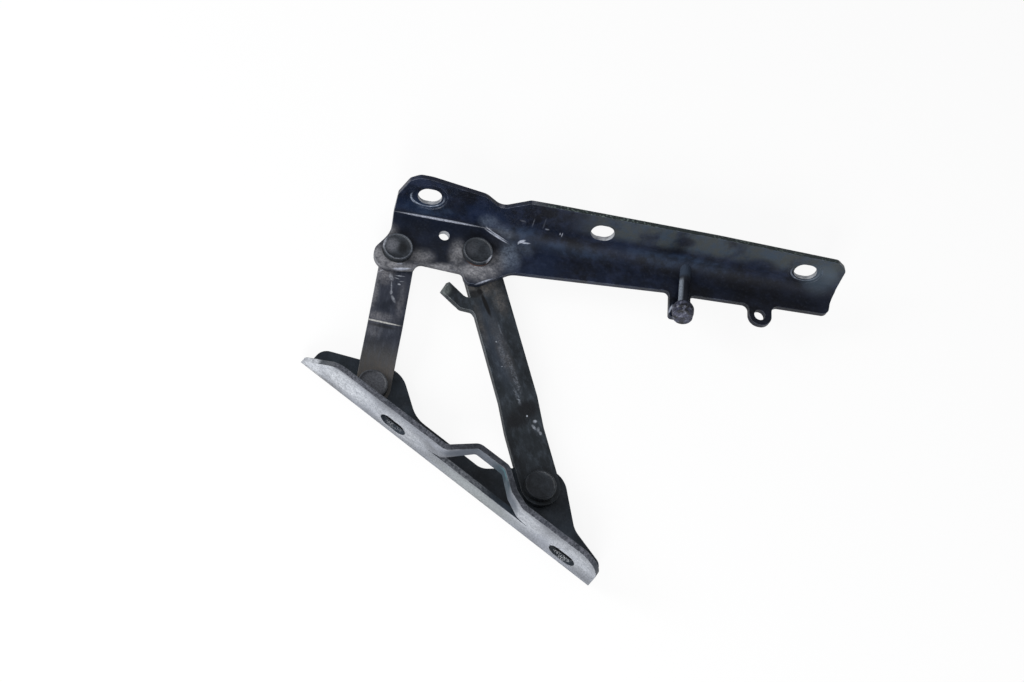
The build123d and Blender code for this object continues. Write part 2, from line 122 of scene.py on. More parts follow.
# The room lights the hinge dimly, and is white only where the camera looks at it.
room_light = 0.38
room = bpy.data.worlds.new("white_room")
room.use_nodes = True
bpy.context.scene.world = room
tree = room.node_tree
tree.nodes.clear()
path = add(tree, "ShaderNodeLightPath")
looked = add(
    tree,
    "ShaderNodeMath",
    {0: path.outputs["Is Camera Ray"], 1: path.outputs["Is Transmission Ray"]},
    operation="MAXIMUM",
)
strength = add(
    tree,
    "ShaderNodeMapRange",
    {"Value": looked.outputs[0], "To Min": room_light, "To Max": 1.0},
)
sky = add(tree, "ShaderNodeBackground", {"Color": linear("#fbfcff"), "Strength": strength.outputs[0]})
add(tree, "ShaderNodeOutputWorld", {"Surface": sky.outputs[0]})

hinge_middle = Vector((0, 0.08, 0))


def soft_lamp(name, place, size, watts):
    """A square soft light that faces the hinge."""
    lamp = bpy.data.lights.new(name, "AREA")
    lamp.size = size
    lamp.energy = watts
    holder = bpy.data.objects.new(name, lamp)
    holder.location = place
    holder.rotation_euler = (hinge_middle - Vector(place)).to_track_quat("-Z", "Y").to_euler()
    bpy.context.collection.objects.link(holder)


soft_lamp("lamp_in_front", (0.35, -1.0, 0.75), 0.5, 15)
soft_lamp("lamp_at_left", (-1.0, -0.45, 0.6), 0.5, 10)


# Body bracket
# 3.5 mm pressed steel sheet, bolted to the car through two slots. It was dipped in black electrocoat;
# the mounting face is pale grey, partly worn paint and partly a painted reflection of the bright room,
# and the inside is dark and dusty.
def new_material(name):
    """A new material with an empty node tree."""
    material = bpy.data.materials.new(name)
    material.use_nodes = True
    material.node_tree.nodes.clear()
    return material


def millimetres(tree, at=(0, 0), turn=0.0):
    """Object coordinates in a sheet's own frame, in millimetres: x along it, y across it, z up."""
    spot = add(tree, "ShaderNodeTexCoord")
    return add(
        tree,
        "ShaderNodeMapping",
        {
            "Vector": spot.outputs["Object"],
            "Location": (at[0] / 1000, at[1] / 1000, 0),
            "Rotation": (0, 0, radians(turn)),
            "Scale": (0.001, 0.001, 0.001),
        },
        vector_type="TEXTURE",
    ).outputs[0]


def clouds(tree, place, grain, low, high, detail=6, rough=0.6, stretch=(1, 1, 1), shift=0.0):
    """Soft-edged patches about one grain (mm) wide: 0 below low, 1 above high."""
    moved = add(
        tree,
        "ShaderNodeMapping",
        {"Vector": place, "Location": (shift, shift, shift), "Scale": [s / grain for s in stretch]},
    )
    noise = add(
        tree,
        "ShaderNodeTexNoise",
        {"Vector": moved.outputs[0], "Scale": 1.0, "Detail": detail, "Roughness": rough},
    )
    return add(
        tree,
        "ShaderNodeMapRange",
        {"Value": noise.outputs["Fac"], "From Min": low, "From Max": high},
        interpolation_type="SMOOTHSTEP",
    ).outputs[0]


def road_grit(tree, place, grain):
    """Road grit stuck in the paint, grain mm wide.

    Real grit is about 0.2 mm, too fine to show in the render, so it is drawn coarser than it is.
    """
    return clouds(tree, place, grain, 0.35, 0.65, detail=8, rough=0.75)


def together(tree, *factors):
    """Strong only where every factor is strong: the factors multiplied."""
    product, *others = factors
    for factor in others:
        product = add(tree, "ShaderNodeMath", {0: product, 1: factor}, operation="MULTIPLY").outputs[0]
    return product


def between(tree, factor, low, high):
    """A number from low to high by the factor."""
    return add(tree, "ShaderNodeMapRange", {"Value": factor, "To Min": low, "To Max": high}).outputs[0]


def marks(tree, place, rows, edge=0.7):
    """The strongest of several oval marks on the sheet, each soft over the edge share of its reach.

    A row is the centre and the reach (both mm), the turn (degrees) and the strength.
    """
    strongest = 0.0
    for centre, reach, turn, strength in rows:
        near = add(
            tree,
            "ShaderNodeMapping",
            {"Vector": place, "Location": centre, "Rotation": (0, 0, radians(turn)), "Scale": reach},
            vector_type="TEXTURE",
        )
        far = add(tree, "ShaderNodeVectorMath", {0: near.outputs[0]}, operation="LENGTH")
        one = add(
            tree,
            "ShaderNodeMapRange",
            {"Value": far.outputs["Value"], "From Min": 1.0, "From Max": 1.0 - edge, "To Max": strength},
            interpolation_type="SMOOTHSTEP",
        )
        most = add(tree, "ShaderNodeMath", {0: one.outputs[0], 1: strongest}, operation="MAXIMUM")
        strongest = most.outputs[0]
    return strongest


def rise(tree, place, axis, start, end):
    """0 before start and 1 after end along one axis of the sheet's frame, in millimetres."""
    split = add(tree, "ShaderNodeSeparateXYZ", {0: place})
    return add(
        tree,
        "ShaderNodeMapRange",
        {"Value": split.outputs[axis], "From Min": start, "From Max": end},
        interpolation_type="SMOOTHSTEP",
    ).outputs[0]


def facing(tree, direction, low, high):
    """1 on faces that look along a direction of the part at rest: 0 at cosine low, 1 at cosine high."""
    normal = add(tree, "ShaderNodeTexCoord").outputs["Normal"]
    cosine = add(tree, "ShaderNodeVectorMath", {0: normal, 1: direction}, operation="DOT_PRODUCT")
    return add(
        tree,
        "ShaderNodeMapRange",
        {"Value": cosine.outputs["Value"], "From Min": low, "From Max": high},
    ).outputs[0]


def rubbed(tree, width):
    """1 along the sheet's edges and bends, where the paint is rubbed thin over width mm."""
    rounded = add(tree, "ShaderNodeBevel", {"Radius": width / 1000}, samples=6)
    flat = add(tree, "ShaderNodeNewGeometry").outputs["Normal"]
    cosine = add(
        tree,
        "ShaderNodeVectorMath",
        {0: rounded.outputs[0], 1: flat},
        operation="DOT_PRODUCT",
    )
    return add(
        tree,
        "ShaderNodeMapRange",
        {"Value": cosine.outputs["Value"], "From Min": 0.985, "From Max": 0.86},
    ).outputs[0]


def over(tree, under, colour, *factors):
    """A colour laid over another where all the factors are strong."""
    under, top = (linear(c) if isinstance(c, str) else c for c in (under, colour))
    share = together(tree, *factors)
    return add(tree, "ShaderNodeMix", {"Factor": share, 6: under, 7: top}, data_type="RGBA").outputs[2]


def paint(material, objects, colour, roughness, height, lift, round_off=0.5, ior=1.5, metallic=0.0):
    """Closes a material and gives it to objects.

    The height lifts the surface by up to lift mm, and edges look round by round_off mm. Old paint
    reflects less than the 1.5 of fresh paint or rubber, so each painted piece has its own IOR.
    """
    tree = material.node_tree
    corner = add(tree, "ShaderNodeBevel", {"Radius": round_off / 1000}, samples=6)
    bump = add(
        tree,
        "ShaderNodeBump",
        {"Strength": 1.0, "Distance": lift / 1000, "Height": height, "Normal": corner.outputs[0]},
    )
    shader = add(
        tree,
        "ShaderNodeBsdfPrincipled",
        {"Base Color": colour, "Roughness": roughness, "Metallic": metallic, "Normal": bump.outputs[0]},
    )
    if not metallic:
        shader.inputs["IOR"].default_value = ior
    add(tree, "ShaderNodeOutputMaterial", {"Surface": shader.outputs[0]})
    for piece in objects:
        for slot in piece.material_slots:
            slot.material = material
        if not piece.material_slots:
            piece.data.materials.append(material)


body_electrocoat = new_material("worn_electrocoat_body_bracket")
tree = body_electrocoat.node_tree
place = millimetres(tree)
grit = road_grit(tree, place, 1.4)
specks = clouds(tree, place, 1.3, 0.5, 0.62, detail=4, rough=0.7, shift=3)
patches = clouds(tree, place, 9, 0.4, 0.65, shift=5)
coat = over(tree, "#171e25", "#2b343e", clouds(tree, place, 24, 0.4, 0.68))
coat = over(tree, coat, "#41464d", patches, grit, 0.5)

# The mounting face is palest at its left end and right of the strap, greyer and dirtier between.
face = over(tree, "#696c72", "#82868f", clouds(tree, place, 16, 0.35, 0.65, stretch=(0.5, 1, 1.5)))
mottle = clouds(tree, place, 3.5, 0.4, 0.6, detail=8, rough=0.75, stretch=(0.8, 1, 1), shift=9)
pale = [
    ((-100, 0, 4), (36, 9, 14), 0, 0.85),
    ((-60, 0, 2), (30, 9, 14), 0, 0.55),
    ((33, 0, 8), (22, 9, 14), 0, 0.6),
    ((68, 0, 8), (30, 9, 14), 0, 0.5),
    ((-124, 0, -3), (14, 9, 14), 0, 1.0),
]
face = over(tree, face, "#bfc3c9", marks(tree, place, pale), between(tree, mottle, 0.45, 1.0))
dirty = [
    ((-112, 0, -12), (28, 9, 7), 0, 1.0),
    ((-78, 0, -15), (24, 9, 4), 0, 0.8),
    ((-30, 0, -3), (14, 9, 7), 0, 0.5),
    ((-5, 0, -12), (42, 9, 8), 0, 0.75),
]
face = over(tree, face, "#595652", marks(tree, place, dirty), between(tree, specks, 0.25, 1.0))
face = over(tree, face, "#8b918f", marks(tree, place, [((0, 0, -4), (44, 9, 10), 0, 0.5)]))
face = over(tree, face, "#56585e", specks, 0.5)
grains = clouds(tree, place, 0.9, 0.46, 0.6, detail=3, shift=2)
face = over(tree, face, "#43474a", grains, 0.25)

# The strap keeps more of its coat, and a greenish patch on its right slope.
raised = rise(tree, place, "Y", 3.0, 8.0)
feet = [((20, 2, 10), (12, 9, 9), 0, 0.9), ((-23, 4, 12), (12, 8, 6), 0, 0.85)]
face = over(tree, face, "#4d535c", marks(tree, place, feet))
strap = over(tree, "#545a63", "#36424a", rise(tree, place, "X", -4, 4))
face = over(tree, face, strap, raised, between(tree, patches, 1.0, 0.75))
face = over(tree, face, "#487078", marks(tree, place, [((8, 12, 15.6), (7, 5, 1.8), 0, 0.6)]))
# The face that looks out to the front, and the bracket's left end, take the pale colour: partly worn
# paint, partly a painted reflection of the bright room.
outer = facing(tree, (0, -1, 0), 0.35, 0.75)
left_end = marks(tree, place, [((-129, 1, -4), (15, 6, 13), 0, 1.0)], edge=0.3)
face_wear_and_reflection = add(tree, "ShaderNodeMath", {0: outer, 1: left_end}, operation="MAXIMUM").outputs[0]

# The cut edge of the flange is a band of bare steel, purple grey under fine dirt, except on the strap.
upward = facing(tree, (0, 0, 1), 0.6, 0.9)
band = together(tree, upward, rise(tree, place, "Z", 2, 8))
worn_band = over(tree, "#2b2d34", "#6d6f78", grit)
on_strap = marks(tree, place, [((0, 8, 14), (36, 14, 9), 0, 0.75)], edge=0.2)
bare = together(tree, between(tree, on_strap, 0.9, 0.1), between(tree, patches, 0.6, 1.0))
coat = over(tree, coat, "#10141a", band, on_strap)
coat = over(tree, coat, worn_band, band, bare)

# Fine dust lies on the lower edge of the opening that the strap was lanced from.
sill = marks(tree, place, [((-16, 2, 2.4), (28, 4, 2), 0, 0.9)], edge=0.6)
coat = over(tree, coat, over(tree, "#2b2f34", "#6c6f75", grit), sill, upward)
colour = over(tree, coat, face, face_wear_and_reflection)

# Pale crumbs lie in the two slots.
in_slots = [((-62.5, 2.2, -5.2), (7, 2.2, 1.6), 0, 0.4), ((62.5, 2.2, -5.2), (7.5, 2.2, 1.6), 0, 1.0)]
crumbs = clouds(tree, place, 0.8, 0.52, 0.6, detail=6, rough=0.8)
colour = over(tree, colour, "#d4d7da", marks(tree, place, in_slots, edge=0.4), crumbs)
colour = over(tree, colour, "#8c9096", rubbed(tree, 0.7), between(tree, patches, 0.1, 0.6))
roughness = between(tree, face_wear_and_reflection, 0.42, 0.75)
body_bracket = frame["nodes"]["body_bracket"]
paint(body_electrocoat, [body_bracket], colour, roughness, grit, 0.08, ior=1.38)


# Bonnet bracket
# Pressed from the same 3.5 mm sheet and bolted to the bonnet through three slots. Its navy-black
# electrocoat is still glossy, with grey road dust round the rivets and painted highlights on its bends.
def pivot_of(joint_name):
    """The place of a joint's axis, in millimetres."""
    joint = next(j for j in frame["joints"] if j["name"] == joint_name)
    return [at * 1000 for at in joint["pos_m"][:2]]


def hole_wall(tree, axis):
    """1 on the wall of a hole along an axis, which looks square to it."""
    return together(tree, facing(tree, axis, 0.5, 0.2), facing(tree, axis, -0.5, -0.2))


def dust_hold(tree, broken, grit, least):
    """How well dust holds on the paint: from least to 1 by the broken patches and by the grit."""
    return together(tree, between(tree, broken, least, 1.0), between(tree, grit, least, 1.0))


navy_electrocoat = new_material("navy_electrocoat_bonnet_bracket")
tree = navy_electrocoat.node_tree
pivot_d = pivot_of("bonnet_swing")
bonnet_turn = 31.560
place = millimetres(tree, pivot_d, bonnet_turn)
grit = road_grit(tree, place, 1.5)
patches = clouds(tree, place, 8, 0.42, 0.68, shift=4)
broken = clouds(tree, place, 6, 0.32, 0.62, detail=8, rough=0.7, shift=8)
coat = over(tree, "#070a13", "#101a2e", clouds(tree, place, 28, 0.38, 0.66))
coat = over(tree, coat, "#262f46", patches, 0.42)

# The recessed pad on the left is greyer, and the web's right end is nearly black.
coat = over(tree, coat, "#12161e", rise(tree, place, "Z", 6, 3), rise(tree, place, "X", 30, 10), 0.6)
coat = over(tree, coat, "#03040a", rise(tree, place, "Z", 9, 5), rise(tree, place, "X", 110, 170), 0.6)
fine = clouds(tree, place, 1.4, 0.5, 0.75, detail=6, rough=0.8, shift=1)
coat = over(tree, coat, "#434a58", fine, 0.3)

# A grey film of old polish, brown in places, lies on the upper half of the flange, right of the
# middle slot.
film = together(
    tree,
    rise(tree, place, "Z", 14, 21),
    rise(tree, place, "X", 52, 80),
    clouds(tree, place, 22, 0.3, 0.5, stretch=(1, 1, 0.6), shift=2),
)
clean = [
    ((130, 21, 25), (9, 20, 5), 0, 1.0),
    ((184, 20, 17), (15, 20, 8), 0, 1.0),
    ((112, 20, 13), (7, 20, 6), 0, 1.0),
    ((160, 20, 13), (14, 20, 6), 0, 0.8),
]
polish = over(tree, "#2c3846", "#33383a", broken)
coat = over(tree, coat, polish, film, between(tree, marks(tree, place, clean, edge=0.6), 1.0, 0.1))
coat = over(tree, coat, "#414d59", marks(tree, place, [((226, 20, 16), (17, 20, 16), 0, 0.6)]))
# Soft blue painted highlights lie along the bend, from below the left slot to the right end, and by the
# joggle.
blue_sheen = [
    ((130, 17, 9), (50, 12, 7), 0, 0.5),
    ((-35, 22, 9), (22, 12, 8), 0, 0.5),
    ((28, 14, 8), (14, 14, 9), 0, 0.4),
    ((58, 12.5, 5), (42, 6, 6), 0, 0.4),
]
coat = over(tree, coat, "#2b3d54", marks(tree, place, blue_sheen), between(tree, patches, 0.3, 1.0))

# Road dust has settled round both rivets and along the lower edge of the recessed pad, in one
# broken band. Right of the pad lies a thinner blue haze, partly dust and partly painted light on the
# joggle.
dust = [
    ((-60, -15, 1.8), (12, 14, 6), -20, 1.0),
    ((-48, -19, 1.8), (19, 7, 6), 0, 1.0),
    ((-35, -11, 1.8), (12, 9, 6), 20, 0.65),
    ((-22, -15.5, 1.8), (34, 5, 6), 8, 0.85),
    ((-60, 3, 1.8), (12, 9, 6), 30, 0.8),
    ((-12.5, -3, 1.8), (8, 14, 6), 0, 0.75),
    ((1.5, -13, 1.8), (19, 10, 6), 10, 1.0),
    ((13, -5, 2.8), (9, 12, 6), -20, 0.45),
]
cover = dust_hold(tree, broken, grit, 0.4)
dust_cover = together(tree, marks(tree, place, dust, edge=0.85), cover)
coat = over(tree, coat, "#97979b", dust_cover)
haze = [
    ((21, 1, 3), (10, 16, 4), 5, 0.8),
    ((5, 21, 8), (10, 7, 8), 0, 0.55),
    ((16, 16, 6), (11, 5, 6), -28, 0.5),
    ((30, 8, 4), (9, 8, 5), 0, 0.3),
]
coat = over(tree, coat, "#6a7585", marks(tree, place, haze, edge=0.85), cover)

# Painted highlights lie along the pad's bend and the joggle's corner, as two glints on the lobe round
# pivot C and on the edge of the lug behind the stud. Beside them are scuffs by the joggle's corner,
# scratches on the flange and a rubbed bright edge on the lobe round pivot D.
bright = [
    ((-26, 19.3, 2.2), (31, 0.8, 1.3), 0, 0.75),
    ((10.5, 14.6, 3.0), (11, 0.8, 1.8), -28.7, 1.0),
    ((11.2, 15.5, 3.4), (10, 0.6, 1.8), -28.7, 0.85),
    ((27.4, 12.7, 4.4), (3.2, 1.1, 3), 24, 1.0),
    ((30.2, 12.2, 4.4), (3.6, 0.6, 3), 5, 0.9),
    ((25.8, 11.6, 4.4), (1.6, 0.6, 3), 60, 0.8),
    ((51.7, 18.2, 12), (0.4, 3, 2.4), 0, 0.6),
    ((50.2, 18.6, 12.5), (0.4, 3, 1.4), 30, 0.5),
    ((31.5, 19.7, 17.5), (0.5, 4, 5), 0, 0.13),
    ((38.5, 20, 18.5), (0.5, 4, 6.5), 0, 0.08),
    ((41.3, 18.9, 14.3), (1.8, 3, 0.7), 0, 0.35),
    ((24.8, 19.9, 17.1), (2.6, 3, 0.9), 0, 0.12),
    ((-46, -20.8, 1.8), (6.8, 0.7, 3), 11, 1.0),
    ((-47.8, -17.6, 1.8), (2.4, 0.7, 3), 11, 0.6),
    ((7, -19.3, 1.6), (9, 0.8, 1.6), 29, 0.8),
    ((127.5, -16.7, 3.8), (0.8, 4.5, 2), -21, 1.0),
]
coat = over(tree, coat, "#b3b9c8", marks(tree, place, bright, edge=0.5), between(tree, grit, 0.45, 1.0))

# The slots' walls are bare where the bolts have rubbed, the tooling hole's wall is grey, and painted
# highlights lie on the pressed rims round two of the slots.
flange_lean = 15
flange_out = Vector((sin(radians(bonnet_turn)), -cos(radians(bonnet_turn)), 0))
flange_normal = flange_out * cos(radians(flange_lean)) + Vector((0, 0, sin(radians(flange_lean))))
slot_middles = ((-35.7, 25.5, 17.8), (76.4, 21.9, 19.2), (214.2, 21.6, 17.8))
near_slot = marks(tree, place, [(middle, (15, 12, 12), 0, 1.0) for middle in slot_middles], edge=0.2)
slot_wall = together(tree, near_slot, hole_wall(tree, flange_normal))
coat = over(tree, coat, "#b0b3b8", slot_wall, between(tree, broken, 0.3, 1.0))
tooling_hole = marks(tree, place, [((-22, 8.3, 0), (4.4, 4.4, 8), 0, 1.0)], edge=0.1)
coat = over(tree, coat, "#9a9da2", tooling_hole, hole_wall(tree, (0, 0, 1)))
rims = [((-37, 23, 17.5), (11.4, 30, 8.0), 0, 1.0), ((214.2, 22, 17.8), (10.2, 30, 7.8), 0, 0.5)]
inside_rims = [
    (centre, (across - 0.9, deep, high - 0.8), turn, 1.0)
    for centre, (across, deep, high), turn, strength in rims
]
rim = together(
    tree,
    marks(tree, place, rims, edge=0.08),
    between(tree, marks(tree, place, inside_rims, edge=0.08), 1.0, 0.0),
)
coat = over(tree, coat, "#a3aec0", rim, rise(tree, place, "Z", 21, 15), cover)

# The flange's cut edge is darker, greener right of the pad, pale over the joggle with worn paint and a
# painted highlight, and chipped to pale flecks further along.
edge_normal = Vector((0, 0, cos(radians(flange_lean)))) - flange_out * sin(radians(flange_lean))
band = together(tree, facing(tree, edge_normal, 0.95, 0.99), rise(tree, place, "Z", 18, 20))
edge_coat = over(tree, "#121828", "#1d2626", rise(tree, place, "X", 10, 60))
step_wear_and_highlight = marks(tree, place, [((22, 22, 26), (24, 16, 14), 0, 0.8)])
edge_coat = over(tree, edge_coat, "#7b7d87", step_wear_and_highlight, cover)
chips = [((75, 22, 31), (50, 14, 9), 0, 0.9), ((190, 22, 31), (60, 14, 9), 0, 0.5)]
flecks = clouds(tree, place, 1.8, 0.52, 0.64, detail=4, shift=6)
edge_coat = over(tree, edge_coat, "#6c7a76", marks(tree, place, chips, edge=0.4), flecks)
coat = over(tree, coat, edge_coat, band, between(tree, patches, 1.0, 0.6))

# Edges rub bright, but the long bend right of the pad stays dull and dark.
bend = together(
    tree,
    rise(tree, place, "X", 3, 9),
    rise(tree, place, "Z", 16, 10),
    rise(tree, place, "Y", 4, 8),
)
edges = together(tree, rubbed(tree, 0.6), between(tree, patches, 0.15, 0.7))
colour = over(tree, coat, "#6c7486", edges, between(tree, bend, 1.0, 0.15))
roughness = add(
    tree,
    "ShaderNodeMath",
    {0: between(tree, dust_cover, 0.3, 0.7), 1: between(tree, bend, 0.0, 0.65)},
    operation="MAXIMUM",
).outputs[0]
bonnet_bracket = frame["nodes"]["bonnet_bracket"]
paint(navy_electrocoat, [bonnet_bracket], colour, roughness, grit, 0.04, ior=1.34)


# Short link
# A 4 mm steel strip with a joggle, from pivot A to pivot C, in matt black electrocoat: dusty under
# the bonnet bracket, scratched by grit, with a painted highlight along the joggle's upper bend.
def turn_towards(start, end):
    """The direction from one pivot to another, in degrees."""
    return degrees(atan2(end[1] - start[1], end[0] - start[0]))


short_link_electrocoat = new_material("scratched_electrocoat_short_link")
tree = short_link_electrocoat.node_tree
pivot_a = pivot_of("short_link_swing")
# No joint stands at pivot C, where the linkage is left open, so its place is given here.
pivot_c = (-133.072, 95.437)
place = millimetres(tree, pivot_a, turn_towards(pivot_a, pivot_c))
grit = road_grit(tree, place, 1.3)
broken = clouds(tree, place, 5, 0.34, 0.62, detail=8, rough=0.7, shift=8)
coat = over(tree, "#161b26", "#272b36", clouds(tree, place, 12, 0.38, 0.66))
coat = over(tree, coat, "#4b4a49", rise(tree, place, "X", 34, 14), 0.9)
coat = over(tree, coat, "#5d5650", rise(tree, place, "X", 24, 10), broken, 0.45)
along = clouds(tree, place, 2.2, 0.45, 0.7, detail=6, stretch=(0.2, 1, 1))
coat = over(tree, coat, "#4c515c", along, 0.3)

# Dust lies towards pivot C, where the paint is also scratched. The joggle's upper bend carries a
# painted highlight, with a painted line of shade below it.
dust = [
    ((78, 5, -2.3), (14, 9, 8), 0, 1.0),
    ((62, 9, -2.3), (20, 4, 8), 0, 0.6),
    ((45, 3, -2.3), (5, 13, 8), 0, 0.6),
    ((58, -8, -2.3), (20, 4, 8), 0, 0.3),
    ((36, 5, -4), (9, 7, 8), 0, 0.3),
]
cover = dust_hold(tree, broken, grit, 0.35)
coat = over(tree, coat, "#8d8c90", marks(tree, place, dust, edge=0.85), cover)
scratches = [
    ((77.5, 6.5, -2.3), (0.5, 4.5, 2), 40, 0.8),
    ((76.0, -5.0, -2.3), (0.5, 3.6, 2), 6, 0.8),
    ((73.9, -3.2, -2.3), (0.4, 2.2, 2), -8, 0.5),
    ((72.4, -6.5, -2.3), (0.4, 2.0, 2), 12, 0.4),
    ((70.0, -5.2, -2.3), (0.7, 1.3, 2), 0, 1.0),
    ((74.0, 0.5, -2.3), (3.5, 1.6, 2), 30, 0.6),
    ((66.5, -0.9, -2.3), (6.0, 0.6, 2), 8.5, 0.5),
    ((63.2, -1.2, -2.3), (2.0, 1.1, 2), 0, 0.7),
    ((59.0, -3.2, -2.3), (3.5, 1.3, 2), 32, 0.5),
]
coat = over(tree, coat, "#c2c6d0", marks(tree, place, scratches, edge=0.6), cover)
# Painted highlight on the joggle's upper bend, and painted shade in a line just below it.
crease_highlight = marks(tree, place, [((41.5, 2.4, -2.4), (0.75, 15.5, 3), 0, 1.0)], edge=0.45)
coat = over(tree, coat, "#bab9b6", crease_highlight, between(tree, grit, 0.5, 1.0))
coat = over(tree, coat, "#0c0e12", marks(tree, place, [((38.9, 0, -3), (1.5, 13, 4), 0, 0.7)]))
colour = over(tree, coat, "#70747b", rubbed(tree, 0.6), between(tree, grit, 0.1, 0.45))
paint(short_link_electrocoat, [frame["nodes"]["short_link"]], colour, 0.48, grit, 0.07, ior=1.4)


# Long link
# The wider strip from pivot B to pivot D, joggled like the short one, with its stop finger folded
# out of one edge. Matt greenish black, dusty at the top, with a painted shadow by the finger and grit
# marks.
long_link_electrocoat = new_material("scratched_electrocoat_long_link")
tree = long_link_electrocoat.node_tree
pivot_b = pivot_of("long_link_swing")
place = millimetres(tree, pivot_b, turn_towards(pivot_b, pivot_d))
grit = road_grit(tree, place, 1.3)
patches = clouds(tree, place, 10, 0.4, 0.66, shift=6)
broken = clouds(tree, place, 5, 0.34, 0.62, detail=8, rough=0.7, shift=8)
coat = over(tree, "#0f1418", "#1c2227", clouds(tree, place, 22, 0.38, 0.66, stretch=(0.6, 1, 1)))
coat = over(tree, coat, "#2b3138", patches, 0.5)
coat = over(tree, coat, "#2d3541", marks(tree, place, [((96, 3, -2), (44, 9, 8), 0, 0.6)]))
along = clouds(tree, place, 3, 0.46, 0.7, detail=8, rough=0.75, stretch=(0.5, 1, 1))
coat = over(tree, coat, "#4c5560", along, 0.35)

# Dust lies towards pivot D, and shade is painted dark on the joggle's ramp. Grit has left grey streaks
# and pale chips, and a painted shadow lies by the finger's root.
dust = [
    ((138, 2, -2), (14, 16, 8), 0, 1.0),
    ((124, -7, -2), (16, 7, 8), 0, 0.6),
    ((90, 0, -2), (34, 6, 8), 4, 0.4),
    ((110, 9, -2), (22, 4, 8), 0, 0.4),
]
cover = dust_hold(tree, broken, grit, 0.35)
coat = over(tree, coat, "#635f5c", marks(tree, place, dust, edge=0.85), cover)
joggle_shade = [((49, -5, -4), (9, 10, 6), 0, 0.9), ((44, 3, -5), (8, 12, 6), 0, 0.7)]
coat = over(tree, coat, "#05070c", marks(tree, place, joggle_shade))
streaks = [
    ((72, -2.6, -2.3), (22, 2.2, 2), 3, 0.45),
    ((88, 1.0, -2.3), (16, 2.6, 2), -3, 0.35),
    ((58, -0.6, -2.3), (9, 1.5, 2), 8, 0.75),
    ((104, -2, -2.3), (10, 0.8, 2), 2, 0.4),
]
specks = clouds(tree, place, 1.0, 0.44, 0.56, detail=4, shift=2)
coat = over(tree, coat, "#878d98", marks(tree, place, streaks), cover, specks)
chips = [
    ((45.3, -4.1, -5), (0.8, 0.8, 3), 0, 1.0),
    ((41.3, -8.4, -5.5), (1.3, 1.8, 3), 0, 0.9),
    ((38.0, -7.0, -6.5), (2.6, 1.2, 3), 30, 0.7),
    ((36.2, -9.4, -6.7), (2.4, 1.2, 3), -20, 0.6),
    ((33.6, -10.0, -6.9), (1.6, 1.3, 3), 0, 0.8),
    ((96, 2.6, -2.3), (0.7, 0.7, 2), 0, 0.9),
    ((79, 3.4, -2.3), (0.5, 0.5, 2), 0, 0.8),
]
coat = over(tree, coat, "#c0c6d2", marks(tree, place, chips), cover)
finger_shadow = [
    ((122, 2.4, -2.3), (11, 1.7, 3), 6, 1.0),
    ((130.5, 8, -2.3), (3.5, 6, 3), 0, 0.7),
    ((131.5, 4, -2.3), (3, 2.5, 3), 0, 0.9),
]
coat = over(tree, coat, "#06070a", marks(tree, place, finger_shadow, edge=0.5))

# The finger is dark, with its paint chipped to a speckled grey-green at the folded tip.
tip = [((135.5, 28, 2.5), (7, 7, 6), 0, 0.9), ((128.3, 25.2, 0.5), (1.2, 2, 2.5), -45, 1.0)]
coat = over(tree, coat, "#868f8c", marks(tree, place, tip), cover)
left_edge = together(tree, rise(tree, place, "Y", 7, 10), rise(tree, place, "X", 60, 90))
edges = together(tree, rubbed(tree, 0.7), between(tree, left_edge, 0.25, 1.0))
colour = over(tree, coat, "#868b90", edges, between(tree, patches, 0.35, 0.9))
paint(long_link_electrocoat, [frame["nodes"]["long_link"]], colour, 0.46, grit, 0.07, ior=1.4)


# Rivets
# Cold-headed steel rivets. The tool leaves a wide dish inside a thin raised rim on each head; the
# tail is peened over behind the clamped sheet. Painted with the sheets, dusty in the dishes.
def turned(name, profile, centre, steps=96):
    """A piece turned about Z at a place (mm) from its (radius, height) profile (mm)."""
    lathe = bmesh.new()
    points = [lathe.verts.new((radius / 1000, 0, height / 1000)) for radius, height in profile]
    lines = [lathe.edges.new(pair) for pair in zip(points, points[1:])]
    bmesh.ops.spin(
        lathe,
        geom=points + lines,
        cent=(0, 0, 0),
        axis=(0, 0, 1),
        angle=radians(360),
        steps=steps,
        use_merge=True,
    )
    bmesh.ops.remove_doubles(lathe, verts=lathe.verts, dist=0.00001)
    bmesh.ops.recalc_face_normals(lathe, faces=lathe.faces)
    bmesh.ops.translate(lathe, verts=lathe.verts, vec=(centre[0] / 1000, centre[1] / 1000, 0))
    mesh = bpy.data.meshes.new(name)
    lathe.to_mesh(mesh)
    lathe.free()
    mesh.shade_smooth()
    mesh.set_sharp_from_angle(angle=radians(40))
    piece = bpy.data.objects.new(name, mesh)
    bpy.context.collection.objects.link(piece)
    return piece


def rivet_profile(tail_at, sheet_back, sheet_front, head_at, tail, shoulder, head):
    """Half the rivet's section from the tail's middle to the dish's middle.

    The first four are heights and the last three are radii, all in mm.
    """
    return [
        (0, tail_at), (4.6, tail_at), (5.6, tail_at + 0.35), (6.35, tail_at + 1.0), (6.6, tail_at + 1.7),
        (6.6, sheet_back), (tail, sheet_back), (tail, sheet_front), (shoulder, sheet_front),
        (shoulder, head_at), (head - 0.2, head_at), (head, head_at + 0.25), (head, head_at + 2.2),
        (head - 0.15, head_at + 2.75), (head - 0.5, head_at + 3.08), (head - 0.85, head_at + 3.18),
        (head - 1.2, head_at + 3.05), (head - 1.6, head_at + 2.6), (head - 2.1, head_at + 2.42),
        (head - 4.5, head_at + 2.3), (1.5, head_at + 2.22), (0, head_at + 2.2),
    ]


